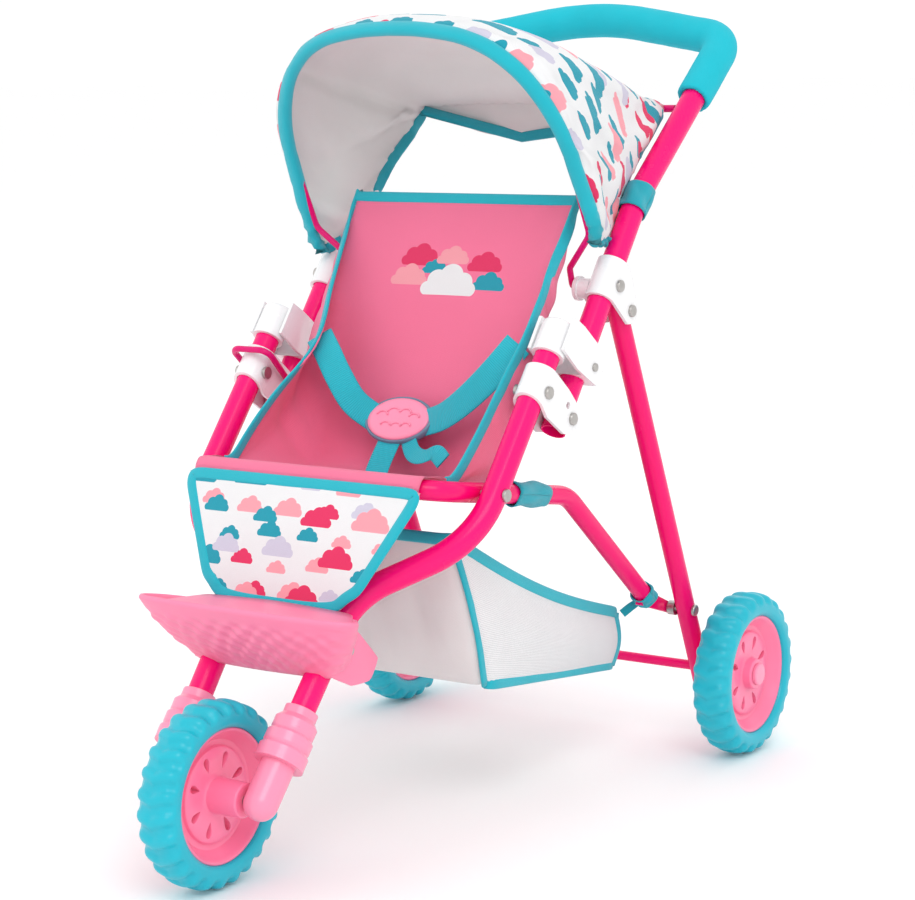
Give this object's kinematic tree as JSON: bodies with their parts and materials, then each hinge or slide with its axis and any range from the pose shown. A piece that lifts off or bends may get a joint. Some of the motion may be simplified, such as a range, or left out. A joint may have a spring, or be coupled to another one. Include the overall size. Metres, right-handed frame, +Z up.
{
  "type": "doll stroller",
  "caption": "Folding three-wheel toy stroller for a doll: bent tube frame, cloth sling seat with harness, canopy, foam handle, footrest and mesh basket.",
  "frame": {"origin": "on the floor, on the middle plane, half way along the length", "axes": "+X to the stroller's left side, -Y towards the front wheel, +Z up"},
  "size_m": [0.3742, 0.6275, 0.6175],
  "materials": {
    "tube_paint": "gloss hot pink",
    "leg_paint": "gloss deep pink",
    "wire_paint": "gloss magenta",
    "steel": "zinc plated",
    "white_plastic": "gloss",
    "pale_pink_plastic": "gloss",
    "rim_plastic": "gloss",
    "footrest_plastic": "satin",
    "tyre_foam": "moulded, satin",
    "grip_foam": "matt foam",
    "seat_cloth": "woven, pale pink",
    "print_cloth": "woven, white with a cloud print",
    "basket_cloth": "white cloth front, white mesh sides",
    "strap_web": "woven webbing",
    "band_cloth": "bound cloth band",
    "buckle_plastic": "gloss"
  },
  "bodies": {
    "front_frame": {"front_tube_left": "tube_paint", "front_tube_right": "tube_paint", "lower_bracket_left": "white_plastic", "lower_bracket_right": "white_plastic", "bracket_bolts": "steel", "fold_pivot_bolts": "steel", "seat_pivot_bolts": "steel", "tube_sleeve_left": "white_plastic", "tube_sleeve_right": "white_plastic", "fork_end_left": "pale_pink_plastic", "fork_end_right": "pale_pink_plastic", "front_axle": "steel", "footrest": "footrest_plastic", "footrest_screws": "steel", "calf_panel": "print_cloth", "seat_base": "seat_cloth", "harness_buckle": "buckle_plastic", "harness_straps": "strap_web", "basket": "basket_cloth"},
    "front_wheel": {"front_tyre": "tyre_foam", "front_rim": "rim_plastic"},
    "handle": {"handle_tube": "tube_paint", "handle_grip": "grip_foam", "upper_bracket_left": "white_plastic", "upper_bracket_right": "white_plastic", "upper_bracket_bolts": "steel", "leg_pivot_bolts": "steel", "latch_left": "white_plastic", "latch_right": "white_plastic", "latch_screws": "steel", "canopy_rod": "wire_paint", "canopy_clip_left": "white_plastic", "canopy_clip_right": "white_plastic", "canopy": "print_cloth", "canopy_ties": "band_cloth", "tie_buttons": "white_plastic", "seat_back": "seat_cloth"},
    "canopy_bow": {"canopy_bow": "wire_paint"},
    "rear_legs": {"rear_leg_left": "leg_paint", "rear_leg_right": "leg_paint", "rear_axle": "leg_paint", "axle_spacers": "white_plastic", "axle_caps": "pale_pink_plastic", "link_bolts": "steel", "link_spacers": "steel"},
    "rear_wheel_left": {"rear_tyre_left": "tyre_foam", "rear_rim_left": "rim_plastic"},
    "rear_wheel_right": {"rear_tyre_right": "tyre_foam", "rear_rim_right": "rim_plastic"},
    "seat_frame": {"seat_frame": "leg_paint"},
    "catch_wire": {"catch_wire": "wire_paint"}
  },
  "joints": [
    {"name": "fold", "type": "hinge", "parent": "front_frame", "child": "handle", "pos_m": [0, 0.0129, 0.308], "axis": [-1, 0, 0], "range_deg": [0, 96]},
    {"name": "rear_leg_fold", "type": "hinge", "parent": "handle", "child": "rear_legs", "pos_m": [0, 0.1032, 0.3798], "axis": [1, 0, 0], "range_deg": [0, 53]},
    {"name": "seat_frame_fold", "type": "hinge", "parent": "front_frame", "child": "seat_frame", "pos_m": [0, -0.0765, 0.2643], "axis": [-1, 0, 0], "range_deg": [0, 55]},
    {"name": "canopy_swing", "type": "hinge", "parent": "handle", "child": "canopy_bow", "pos_m": [0, 0.0869, 0.3972], "axis": [-1, 0, 0], "range_deg": [0, 40]},
    {"name": "catch_lift", "type": "hinge", "parent": "front_frame", "child": "catch_wire", "pos_m": [0, 0.00724, 0.31881], "axis": [-1, 0, 0], "range_deg": [0, 18]},
    {"name": "front_wheel_spin", "type": "hinge", "parent": "front_frame", "child": "front_wheel", "pos_m": [0, -0.2468, 0.0675], "axis": [1, 0, 0], "continuous": true},
    {"name": "rear_wheel_left_spin", "type": "hinge", "parent": "rear_legs", "child": "rear_wheel_left", "pos_m": [0, 0.2387, 0.0675], "axis": [1, 0, 0], "continuous": true},
    {"name": "rear_wheel_right_spin", "type": "hinge", "parent": "rear_legs", "child": "rear_wheel_right", "pos_m": [0, 0.2387, 0.0675], "axis": [1, 0, 0], "continuous": true}
  ],
  "couplings": [
    {"joint": "rear_leg_fold", "follows": "fold", "ratio": 0.544},
    {"joint": "seat_frame_fold", "follows": "fold", "ratio": 0.567}
  ]
}
